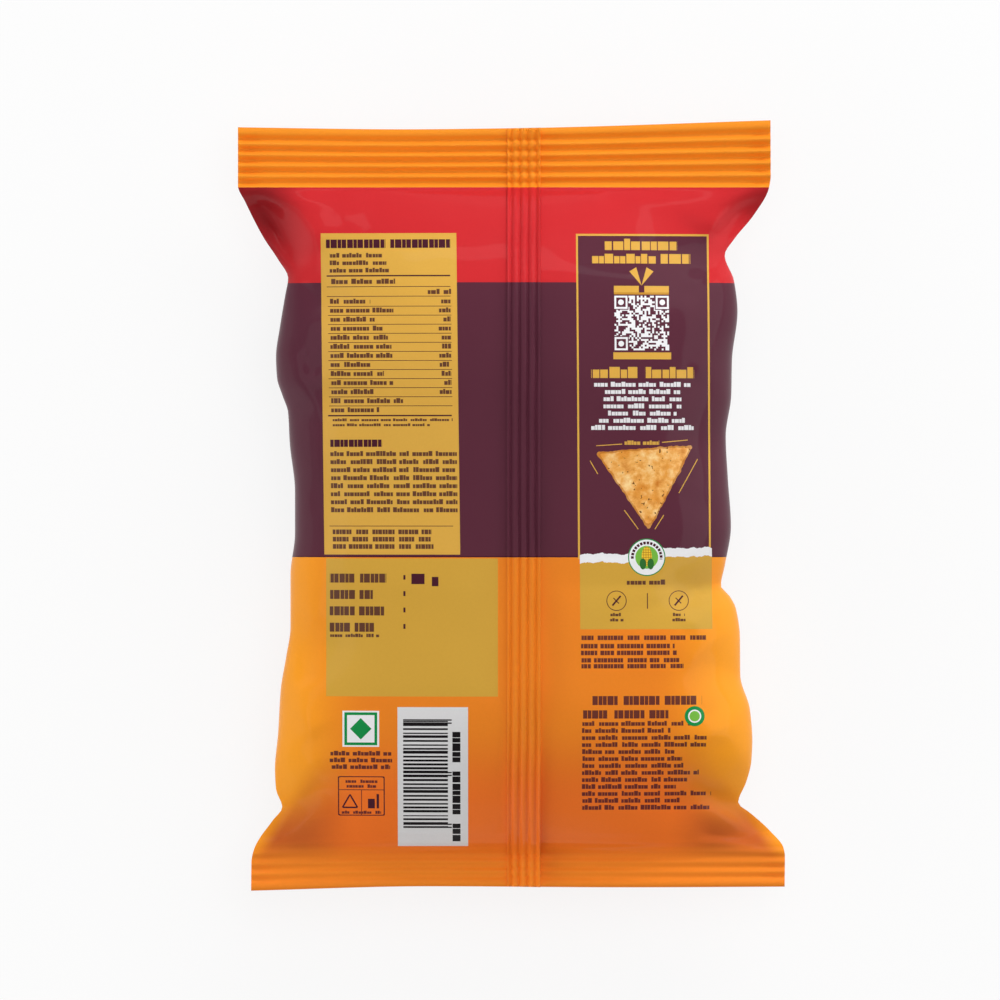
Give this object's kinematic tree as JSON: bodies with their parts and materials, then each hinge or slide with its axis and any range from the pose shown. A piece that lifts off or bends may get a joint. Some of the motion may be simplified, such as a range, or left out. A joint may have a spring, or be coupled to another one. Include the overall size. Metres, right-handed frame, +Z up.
{
  "type": "sealed pillow bag of nacho crisps",
  "caption": "Sealed, puffed pillow bag of crisps lying on its front, with crimped end seals and a folded fin seal down its back.",
  "frame": {"origin": "on the floor, under the middle of the bag's box as it lies on its front", "axes": "+Y along the bag towards its top seal, +X across the bag to the right as its back is seen from above, +Z up out of its back"},
  "size_m": [0.1582, 0.2228, 0.0523],
  "materials": {
    "printed_film": "satin printed film in bands of orange, red and purple"
  },
  "bodies": {
    "root": {"sealed_bag": "printed_film"}
  },
  "joints": []
}
